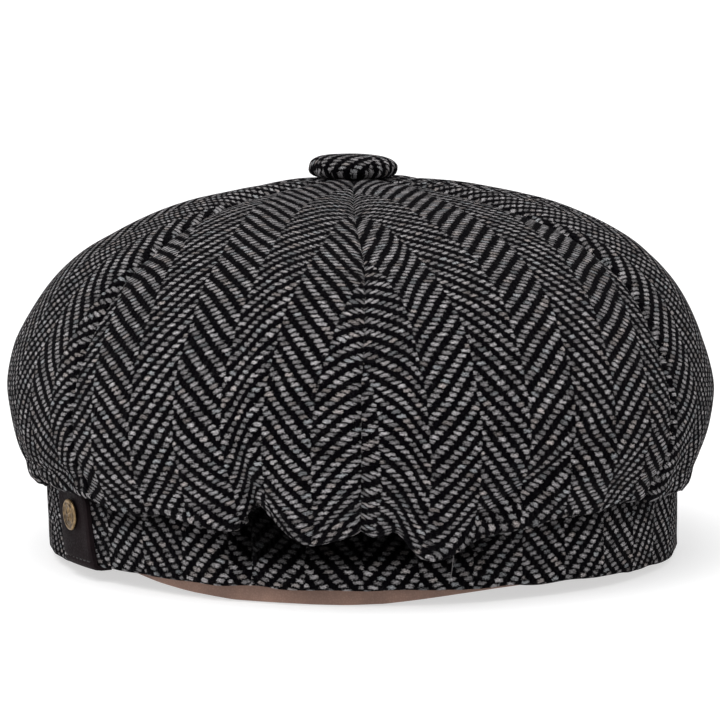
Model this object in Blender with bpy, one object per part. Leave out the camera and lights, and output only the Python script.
"""Eight-panel newsboy cap, standing on a table on its sweatband and the rim of its peak.

Row frame: metres, +Z up, the peak points to -Y, the back of the head is +Y, the wearer's left is +X.
The origin is the centre of the bounding box's underside. Everything is first modelled about the
centre of the head opening, and the "cap_frame" empty then shifts it along Y.

t is the ellipse parameter round the head: 0 at the back, +90 at the wearer's left, 180 at the front.
"""
import math

import bmesh
import bpy
import numpy as np

for old in list(bpy.data.objects):
    bpy.data.objects.remove(old, do_unlink=True)

MM = 0.001

# ---- driving dimensions, in millimetres ------------------------------------------------------
FRAME_SHIFT_Y = 20.09       # centre of the head opening to the middle of the whole length
BAND_A, BAND_B = 85.5, 104.0    # half width and half length of the headband, outside face
BAND_TOP = 30.0             # height of the seam between headband and crown
BAND_CLOTH = 2.0            # two folded layers of tweed
STIFFENER_IN, STIFFENER_T = 3.3, 0.6
SWEAT_IN, SWEAT_T = 4.2, 1.1    # sweatband: depth behind the band's face, and thickness
SWEAT_TOP = 32.6
FRONT_DROP = 3.6            # how far the crown's top droops towards the front
FRONT_RISE = 14.0           # how far the front of the band is lifted by the peak it stands on
CROWN_A, CROWN_B = 95.4, 120.0  # widest half width and half length of the crown
CROWN_WIDEST_Z = 42.0
CROWN_TOP = 101.0
CROWN_LOW, CROWN_LOW_SIDE = 19.0, 22.6   # lowest edge of the crown's overhang, at the back and at the sides
APEX_SHIFT = 2.1            # the panels meet this far to the wearer's left of the centre line
CROWN_CLOTH = 1.5
LINING_CLOTH = 0.5
APEX_R = 2.4                # open centre where the panels meet, for the button's stem
SEAM_GAP = 0.3
BUTTON_R = 12.0
BUTTON_H = 6.4
PEAK_DEPTH = 53.0           # peak, front to back on its centre line
PEAK_T = 60.0               # the peak is sewn on over this many degrees of t each side of the front
PEAK_GAP = 3.2              # running room between the peak and the band
BOARD_T, COVER_T = 1.6, 1.3
HINGE_Y, HINGE_Z = -52.0, 8.0   # peak's bending line, across its two sewn corners
TAB_T, TAB_W, TAB_TOP, TAB_THICK = 60.0, 18.0, 21.4, 1.5
TAB_SKEW = 0.20             # the strap's foot swings towards the back, per millimetre of drop
RIVET_T, RIVET_Z, RIVET_R, RIVET_POST_R = 59.3, 15.0, 4.2, 1.2

SEAMS = [0.0, 51.0, 90.0, 130.0, 180.0, 230.0, 270.0, 303.0, 360.0]


def smooth(x):
    x = min(1.0, max(0.0, x))
    return x * x * (3 - 2 * x)


def through(points, halved=()):
    """The points themselves, with a Catmull-Rom midpoint added after each index in halved."""
    p = np.array(points, float)
    q = np.vstack([2 * p[0] - p[1], p, 2 * p[-1] - p[-2]])
    out = []
    for i in range(len(p)):
        out.append(p[i])
        if i in halved:
            a, b, c, d = q[i], q[i + 1], q[i + 2], q[i + 3]
            out.append((9 * (b + c) - a - d) / 16)
    return np.array(out)


def offset_profile(prof, d):
    """The profile moved d to its left-hand side, in its own plane."""
    tan = np.gradient(prof, axis=0)
    tan /= np.linalg.norm(tan, axis=1)[:, None]
    return prof + d * np.column_stack([-tan[:, 1], tan[:, 0]])


def ellipse_radius(a, b, phi):
    """Distance from the centre to the ellipse in direction phi (0 is +Y, 90 degrees is +X)."""
    return 1.0 / math.sqrt((math.sin(phi) / a) ** 2 + (math.cos(phi) / b) ** 2)


def phi_of(t_deg):
    t = math.radians(t_deg)
    return math.atan2(CROWN_A * math.sin(t), CROWN_B * math.cos(t))


def crown_radius(phi):
    """Crown's widest radius: the oval, drawn a little flat between the seams."""
    r = ellipse_radius(CROWN_A, CROWN_B, phi)
    return r


def front_lift(t):
    """How far the peak under the front holds the band up off the table, at t degrees."""
    d = abs((t + 180) % 360 - 180)
    return FRONT_RISE * smooth((d - 108) / 72.0)


def raised(r, z, phi):
    """Height z of the crown over direction phi: its front is held up by the peak below and droops above."""
    t = math.degrees(math.atan2(math.sin(phi) / BAND_A, math.cos(phi) / BAND_B))
    droop = FRONT_DROP * smooth((0.35 - math.cos(phi)) / 1.1) * smooth((r - 12.0) / 50.0) * smooth((z - 50.0) / 25.0)
    return z + front_lift(t) * (1 - smooth((z - 34.0) / 46.0)) - droop


def crown_profile(phi):
    """Right side of the cloth from the band seam, under the overhang, up and over to the apex."""
    rb = ellipse_radius(BAND_A, BAND_B, phi)
    rc = crown_radius(phi)
    ov = rc - rb
    side = smooth((abs((math.degrees(phi) + 180) % 360 - 180) - 22) / 30.0)
    low = CROWN_LOW + (CROWN_LOW_SIDE - CROWN_LOW) * side
    pts = [(rb - 1.6, BAND_TOP + 0.45), (rb + 0.4, BAND_TOP + 0.45), (rb + 1.15, BAND_TOP - 1.6),
           (rb + 1.5, 0.5 * (low + BAND_TOP)), (rb + 2.0, low + 1.6), (rb + 3.2, low),
           (rb + 0.48 * ov + 0.4, low + 1.0), (rb + 0.64 * ov, low + 4.2), (rb + 0.80 * ov, 0.45 * low + 20.4),
           (rb + 0.93 * ov, 36.2), (rc, CROWN_WIDEST_Z), (0.995 * rc, 51.0), (0.955 * rc, 63.0),
           (0.889 * rc, 72.8), (0.80 * rc, 81.0), (0.664 * rc, 89.1), (0.517 * rc, 94.4),
           (0.36 * rc, 97.9), (0.18 * rc, 100.2), (APEX_R, CROWN_TOP)]
    return through([(r, raised(r, z, phi)) for r, z in pts], (12, 14))


def lining_profile(phi):
    rs = ellipse_radius(BAND_A - SWEAT_IN - 0.3, BAND_B - SWEAT_IN - 0.3, phi)
    rc = crown_radius(phi)
    pts = [(rs, SWEAT_TOP + 0.6), (0.5 * rs + 0.5 * 0.905 * rc, 38.5), (0.915 * rc, 47.0), (0.905 * rc, 58.0),
           (0.845 * rc, 69.5), (0.74 * rc, 79.0), (0.58 * rc, 87.0), (0.40 * rc, 92.2),
           (0.20 * rc, 95.6), (APEX_R + 0.6, 96.8)]
    return through([(r, raised(r, z, phi)) for r, z in pts])


# ---- mesh helpers ---------------------------------------------------------------------------
frame = bpy.data.objects.new("cap_frame", None)
bpy.context.scene.collection.objects.link(frame)
frame.location = (0, FRAME_SHIFT_Y * MM, 0)
peak_axis = bpy.data.objects.new("peak_axis", None)
bpy.context.scene.collection.objects.link(peak_axis)
peak_axis.parent = frame
peak_axis.location = (0, HINGE_Y * MM, HINGE_Z * MM)
button_axis = bpy.data.objects.new("button_axis", None)
bpy.context.scene.collection.objects.link(button_axis)
button_axis.parent = frame
button_axis.location = (APEX_SHIFT * MM, 0, 0)

_materials = {}


def material(name, colour, rough, metal=0.0):
    if name not in _materials:
        m = bpy.data.materials.new(name)
        m.use_nodes = True
        b = m.node_tree.nodes["Principled BSDF"]
        b.inputs["Base Color"].default_value = (*colour, 1)
        b.inputs["Roughness"].default_value = rough
        b.inputs["Metallic"].default_value = metal
        _materials[name] = m
    return _materials[name]


TWEED = material("tweed", (0.05, 0.047, 0.052), 0.95)
SATIN = material("lining_satin", (0.035, 0.033, 0.036), 0.35)
LEATHER_TAN = material("sweatband_leather", (0.22, 0.14, 0.11), 0.55)
LEATHER_DARK = material("tab_leather", (0.028, 0.022, 0.024), 0.5)
BUCKRAM = material("buckram", (0.55, 0.53, 0.48), 0.9)
BOARD = material("peak_board_plastic", (0.75, 0.75, 0.72), 0.5)
BRASS = material("antique_brass", (0.22, 0.15, 0.09), 0.45, 1.0)
STEEL = material("tinned_steel", (0.55, 0.55, 0.56), 0.35, 1.0)
WOVEN = material("label_weave", (0.6, 0.58, 0.54), 0.85)


def add_object(name, bm, mat, parent=frame):
    """Makes the object from bm, given in millimetres about the head opening's centre."""
    bmesh.ops.scale(bm, vec=(MM, MM, MM), verts=bm.verts)
    if parent is peak_axis:
        bmesh.ops.translate(bm, vec=(0, -HINGE_Y * MM, -HINGE_Z * MM), verts=bm.verts)
    bmesh.ops.recalc_face_normals(bm, faces=bm.faces)
    mesh = bpy.data.meshes.new(name)
    bm.to_mesh(mesh)
    bm.free()
    mesh.materials.append(mat)
    mesh.shade_smooth()
    mesh.set_sharp_from_angle(angle=math.radians(40))
    ob = bpy.data.objects.new(name, mesh)
    bpy.context.scene.collection.objects.link(ob)
    ob.parent = parent
    return ob


def slab(outer, inner):
    """A closed solid between two grids of points (rows by columns), walled round its four edges."""
    outer, inner = np.asarray(outer, float), np.asarray(inner, float)
    rows, cols = outer.shape[:2]
    bm = bmesh.new()
    vo = [[bm.verts.new(outer[i, j]) for j in range(cols)] for i in range(rows)]
    vi = [[bm.verts.new(inner[i, j]) for j in range(cols)] for i in range(rows)]
    for i in range(rows - 1):
        for j in range(cols - 1):
            bm.faces.new((vo[i][j], vo[i + 1][j], vo[i + 1][j + 1], vo[i][j + 1]))
            bm.faces.new((vi[i][j], vi[i][j + 1], vi[i + 1][j + 1], vi[i + 1][j]))
    for i in range(rows - 1):
        bm.faces.new((vo[i][0], vi[i][0], vi[i + 1][0], vo[i + 1][0]))
        bm.faces.new((vo[i][-1], vo[i + 1][-1], vi[i + 1][-1], vi[i][-1]))
    for j in range(cols - 1):
        bm.faces.new((vo[0][j], vo[0][j + 1], vi[0][j + 1], vi[0][j]))
        bm.faces.new((vo[-1][j], vi[-1][j], vi[-1][j + 1], vo[-1][j + 1]))
    return bm


def ring(sections):
    """A closed ring from a list of cross-sections, each a list of points, joined end to start."""
    bm = bmesh.new()
    loops = [[bm.verts.new(p) for p in s] for s in sections]
    n = len(loops[0])
    for a, b in zip(loops, loops[1:] + loops[:1]):
        for k in range(n):
            bm.faces.new((a[k], a[(k + 1) % n], b[(k + 1) % n], b[k]))
    return bm


def turned(profile, steps):
    """A solid of revolution about Z from a closed loop of (radius, z). Points on the axis close it."""
    bm = bmesh.new()
    n = len(profile)
    cols = []
    for k in range(n):
        r, z = profile[k]
        if r < 1e-6:
            v = bm.verts.new((0, 0, z))
            cols.append([v] * steps)
        else:
            cols.append([bm.verts.new((r * math.cos(2 * math.pi * s / steps), r * math.sin(2 * math.pi * s / steps), z))
                         for s in range(steps)])
    for k in range(n):
        a, b = cols[k], cols[(k + 1) % n]
        for s in range(steps):
            quad = [a[s], a[(s + 1) % steps], b[(s + 1) % steps], b[s]]
            quad = [v for i, v in enumerate(quad) if v not in quad[:i]]
            if len(quad) >= 3:
                bm.faces.new(quad)
    return bm


def spoke_point(phi, r, z, shift=0.0):
    """A point at radius r in direction phi, moved shift sideways (towards growing phi)."""
    lean = APEX_SHIFT * smooth((z - 60.0) / 36.0)
    return (r * math.sin(phi) + shift * math.cos(phi) + lean, r * math.cos(phi) - shift * math.sin(phi), z)


# ---- crown and lining panels -----------------------------------------------------------------
def gore(t0, t1, profile_of, cloth, nu):
    """One panel: right-side and wrong-side grids, its two long edges half a seam gap short of the seams."""
    p0, p1 = phi_of(t0), phi_of(t1)
    while p1 < p0:
        p1 += 2 * math.pi
    outer, inner = [], []
    for j in range(nu + 1):
        f = j / nu
        phi = p0 + (p1 - p0) * f
        prof = profile_of(phi)
        back = offset_profile(prof, cloth)
        outer.append([(phi, r, z, f) for r, z in prof])
        inner.append([(phi, r, z, f) for r, z in back])

    def place(rows):
        pts = []
        for row in rows:
            line = []
            for phi, r, z, f in row:
                shift = (1 - 2 * f) * SEAM_GAP / 2
                line.append(spoke_point(phi, r, z, shift))
            pts.append(line)
        return pts

    return place(outer), place(inner)


for k in range(8):
    a, b = SEAMS[k], SEAMS[k + 1]
    o, i = gore(a, b, crown_profile, CROWN_CLOTH, 6)
    add_object(f"crown_panel_{k + 1}", slab(o, i), TWEED)
    o, i = gore(a, b, lining_profile, LINING_CLOTH, 4)
    add_object(f"lining_panel_{k + 1}", slab(o, i), SATIN)


# ---- headband, stiffener, sweatband ------------------------------------------------------------
def band_edge(t):
    """Height of the headband's folded lower edge, above the lift at the front."""
    d = abs((t + 180) % 360 - 180)
    return float(np.interp(d, [0, 30, 50, 60, 70, 80, 90, 108, 180], [4.4, 4.4, 4.1, 3.3, 2.2, 1.6, 1.2, 0.5, 0.35]))


def sweat_edge(t):
    """Height of the sweatband's lower edge: it rests on the table at the back and rises out of sight at the sides."""
    d = (t + 180) % 360 - 180
    x = [-180, -108, -90, -70, -60, -45, -34, -25, -16, -10, 28, 43, 50, 60, 70, 90, 108, 180]
    y = [0, 0.3, 1.1, 2.2, 3.2, 4.0, 4.2, 3.2, 2.0, 0.0, 0.0, 2.2, 3.9, 3.4, 2.3, 1.1, 0.3, 0]
    return float(np.interp(d, x, y))


def band_section(t, inset, thick, z0, z1, levels):
    """A cross-section of a strip round the head: outer side going up, then inner side going down."""
    s, c = math.sin(math.radians(t)), math.cos(math.radians(t))
    n = np.array([s / BAND_A, c / BAND_B])
    n /= np.linalg.norm(n)
    base = np.array([BAND_A * s, BAND_B * c])
    zs = np.linspace(z0, z1, levels)
    out, back = base - n * inset, base - n * (inset + thick)
    return [(out[0], out[1], z) for z in zs] + [(back[0], back[1], z) for z in zs[::-1]]


STEPS = 72
ts = [360.0 * k / STEPS for k in range(STEPS)]
add_object("band_outer", ring([band_section(t, 0.0, BAND_CLOTH, front_lift(t) + band_edge(t), front_lift(t) + BAND_TOP, 3) for t in ts]), TWEED)
add_object("band_stiffener", ring([band_section(t, STIFFENER_IN, STIFFENER_T, front_lift(t) + 5.6, front_lift(t) + BAND_TOP - 1.0, 2) for t in ts]), BUCKRAM)
add_object("sweatband", ring([band_section(t, SWEAT_IN, SWEAT_T, front_lift(t) + sweat_edge(t), front_lift(t) + SWEAT_TOP, 3) for t in ts]), LEATHER_TAN)


# ---- side tab and its rivet ------------------------------------------------------------------
def band_frame(t):
    """Point on the band's face at t, its outward normal and its direction of travel, in plan."""
    s, c = math.sin(math.radians(t)), math.cos(math.radians(t))
    n = np.array([s / BAND_A, c / BAND_B])
    n /= np.linalg.norm(n)
    return np.array([BAND_A * s, BAND_B * c]), n, np.array([n[1], -n[0]])


def on_band(along, out, z):
    """A point a distance along the band from the tab's centre line, and out from the band's face."""
    t = TAB_T + math.degrees(along / math.hypot(BAND_A * math.cos(math.radians(TAB_T)), BAND_B * math.sin(math.radians(TAB_T))))
    p, n, _ = band_frame(t)
    q = p + n * out
    return (q[0], q[1], z)


tab_bottom = 3.0
rows_o, rows_i = [], []
for z in [tab_bottom, 6.0, 9.0, 13.0, 16.4, 18.0, 19.4, 20.6, TAB_TOP]:
    r = TAB_W / 2
    k = (z - (TAB_TOP - 5.0)) / 5.0
    half = r if k <= 0 else r - 5.0 * (1 - math.sqrt(max(0.0, 1 - k * k)))
    swing = TAB_SKEW * (z - TAB_TOP)
    rows_o.append([on_band(half * f + swing, 0.35 + TAB_THICK, z) for f in (-1, -0.5, 0, 0.5, 1)])
    rows_i.append([on_band(half * f + swing, 0.35, z) for f in (-1, -0.5, 0, 0.5, 1)])
tab = add_object("side_tab", slab(rows_o, rows_i), LEATHER_DARK)


def place_on_band(bm, out):
    """Turns a piece made about +Z so that it stands out of the band at the rivet."""
    p, n, _ = band_frame(RIVET_T)
    from mathutils import Matrix, Vector
    turn = Vector((0, 0, 1)).rotation_difference(Vector((n[0], n[1], 0))).to_matrix().to_4x4()
    at = Matrix.Translation((p[0] + n[0] * out, p[1] + n[1] * out, RIVET_Z))
    bmesh.ops.transform(bm, matrix=at @ turn, verts=bm.verts)
    return bm


face = 0.35 + TAB_THICK + 0.3
cap_loop = [(0, -(face + 2.0) + 0.0), (RIVET_POST_R, -(face + 2.0)), (RIVET_POST_R, 0.0), (RIVET_R - 0.3, 0.0),
            (RIVET_R, 0.3), (RIVET_R - 0.25, 0.75), (RIVET_R * 0.7, 1.1), (RIVET_R * 0.35, 1.25), (0, 1.3)]
rivet = add_object("tab_rivet_cap", place_on_band(turned(cap_loop, 20), face), BRASS)
back_loop = [(0, -0.65), (3.0, -0.65), (3.0, 0.0), (0, 0.0)]
add_object("tab_rivet_back", place_on_band(turned(back_loop, 20), -(BAND_CLOTH + 0.32)), STEEL)

hole = add_object("rivet_hole_cutter", place_on_band(turned([(0, -4.0), (RIVET_POST_R + 0.3, -4.0), (RIVET_POST_R + 0.3, 4.0), (0, 4.0)], 16), 0.4), STEEL)
hole.hide_render = True
hole.display_type = "WIRE"
for target in (bpy.data.objects["band_outer"], tab):
    cut = target.modifiers.new("rivet_hole", "BOOLEAN")
    cut.operation = "DIFFERENCE"
    cut.object = hole

# ---- covered button on the apex --------------------------------------------------------------
bz = CROWN_TOP + 0.45      # underside of the button
R, H = BUTTON_R, BUTTON_H


def dome(r, h, z0, n):
    """(radius, z) points from the rim at z0 up to the pole, as a flattened dome."""
    pts = []
    for k in range(n + 1):
        a = math.pi / 2 * k / n
        pts.append((r * math.cos(a) ** 0.62 if k < n else 0.0, z0 + h * math.sin(a)))
    return pts


skin = 1.3
outer = [(R * 0.80, bz), (R * 0.955, bz + 1.1)] + dome(R, H - 2.6, bz + 2.6, 5)
inner = [(0.0, bz + H - skin)] + dome(R - skin, H - 2.6 - skin, bz + 2.6, 5)[::-1][1:] + [(R * 0.955 - skin, bz + 1.6), (R * 0.80 - 0.6, bz + 0.75)]
add_object("button_cover", turned(outer + inner, 28), TWEED, button_axis)
sh = skin + 0.3
shell_out = dome(R - sh, H - 2.6 - sh, bz + 2.6, 4)
shell_in = dome(R - sh - 0.5, H - 2.6 - sh - 0.5, bz + 2.6, 4)[::-1]
add_object("button_shell", turned(shell_out + shell_in, 24), STEEL, button_axis)
add_object("button_back", turned([(1.9, bz + 1.35), (8.4, bz + 1.35), (8.4, bz + 2.1), (1.9, bz + 2.1)], 24), STEEL, button_axis)
stem_low = CROWN_TOP - 3.6
add_object("button_stem", turned([(0, stem_low), (3.0, stem_low), (3.0, stem_low + 0.6), (1.5, stem_low + 0.6), (1.5, bz + 2.4),
                                  (2.9, bz + 2.4), (2.9, bz + 3.0), (0, bz + 3.0)], 20), STEEL, button_axis)
add_object("button_washer", turned([(1.85, stem_low + 0.9), (6.0, stem_low + 0.9), (6.0, stem_low + 1.6), (1.85, stem_low + 1.6)], 24), STEEL, button_axis)


# ---- peak ------------------------------------------------------------------------------------
def peak_point(s, w):
    """Mid-surface of the peak: s from -1 to 1 corner to corner, w from 0 at the band to 1 at the rim."""
    t = math.radians(180.0 + PEAK_T * s)
    base = np.array([BAND_A * math.sin(t), BAND_B * math.cos(t)])
    n = np.array([math.sin(t) / BAND_A, math.cos(t) / BAND_B])
    n /= np.linalg.norm(n)
    gap = PEAK_GAP * (0.35 + 0.65 * math.sqrt(max(0.0, 1 - s * s)))
    start = base + n * gap
    way = n * 0.42 + np.array([0.0, -1.0]) * 0.58
    way /= np.linalg.norm(way)
    depth = (PEAK_DEPTH - 7.0) * max(0.0, 1 - abs(s) ** 2.6) ** 0.72 + 7.0
    p = start + way * depth * w
    lift = front_lift(180.0 + PEAK_T * s)
    z_in = lift * 0.94 + 2.6
    rim_z = 2.35 + 3.4 * (1 - abs(s) ** 1.7)
    z = z_in + (rim_z - z_in) * (max(0.0, w) ** 1.15) + 1.6 * math.sin(math.pi * w) * (1 - s * s)
    return np.array([p[0], p[1], z])


def peak_sheet(s_max, w0, w1, top, bottom, ns, nw, taper):
    """A sheet of the peak between two heights off the mid-surface. taper closes the covers at the rim."""
    up, down = [], []
    for a in range(ns + 1):
        s = s_max * (-1 + 2 * a / ns)
        line_u, line_d = [], []
        for b in range(nw + 1):
            w = w0 + (w1 - w0) * b / nw
            e = 1e-3
            p = peak_point(s, w)
            ds = peak_point(min(0.999, s + e), w) - peak_point(max(-0.999, s - e), w)
            dw = peak_point(s, w + e) - peak_point(s, w - e)
            nrm = np.cross(ds, dw)
            nrm /= np.linalg.norm(nrm)
            if nrm[2] < 0:
                nrm = -nrm
            k = 1.0
            if taper:
                edge = max((w - 0.90) / 0.10, (abs(s) - 0.93) / 0.07, 0.0)
                k = math.sqrt(max(0.0, 1 - min(1.0, edge) ** 2)) if edge > 0 else 1.0
            line_u.append(p + nrm * (top[0] + top[1] * k))
            line_d.append(p + nrm * (bottom[0] + bottom[1] * k))
        up.append(line_u)
        down.append(line_d)
    return slab(up, down)


half = BOARD_T / 2
add_object("peak_board", peak_sheet(0.90, 0.04, 0.87, (half, 0), (-half, 0), 20, 5, False), BOARD, peak_axis)
add_object("peak_top_cover", peak_sheet(0.985, 0.0, 1.0, (0.16 + COVER_T * 0.6, half + 0.14 + COVER_T * 0.4), (0.16, half + 0.14), 26, 8, True), TWEED, peak_axis)
add_object("peak_under_cover", peak_sheet(0.985, 0.0, 1.0, (-0.16, -half - 0.14), (-0.16 - COVER_T * 0.6, -half - 0.14 - COVER_T * 0.4), 26, 8, True), TWEED, peak_axis)

# ---- size label, sewn flat to the sweatband at the back ------------------------------------------
rows_o, rows_i = [], []
for z in (12.0, 26.0):
    lo, li = [], []
    for a in (-10, -5, 0, 5, 10):
        t = math.degrees(a / (BAND_A - SWEAT_IN - SWEAT_T))
        p, n, _ = band_frame(t)
        d = SWEAT_IN + SWEAT_T + 0.3
        lo.append((*(p - n * d), z))
        li.append((*(p - n * (d + 0.4)), z))
    rows_o.append(lo)
    rows_i.append(li)
add_object("size_label", slab(rows_o, rows_i), WOVEN)
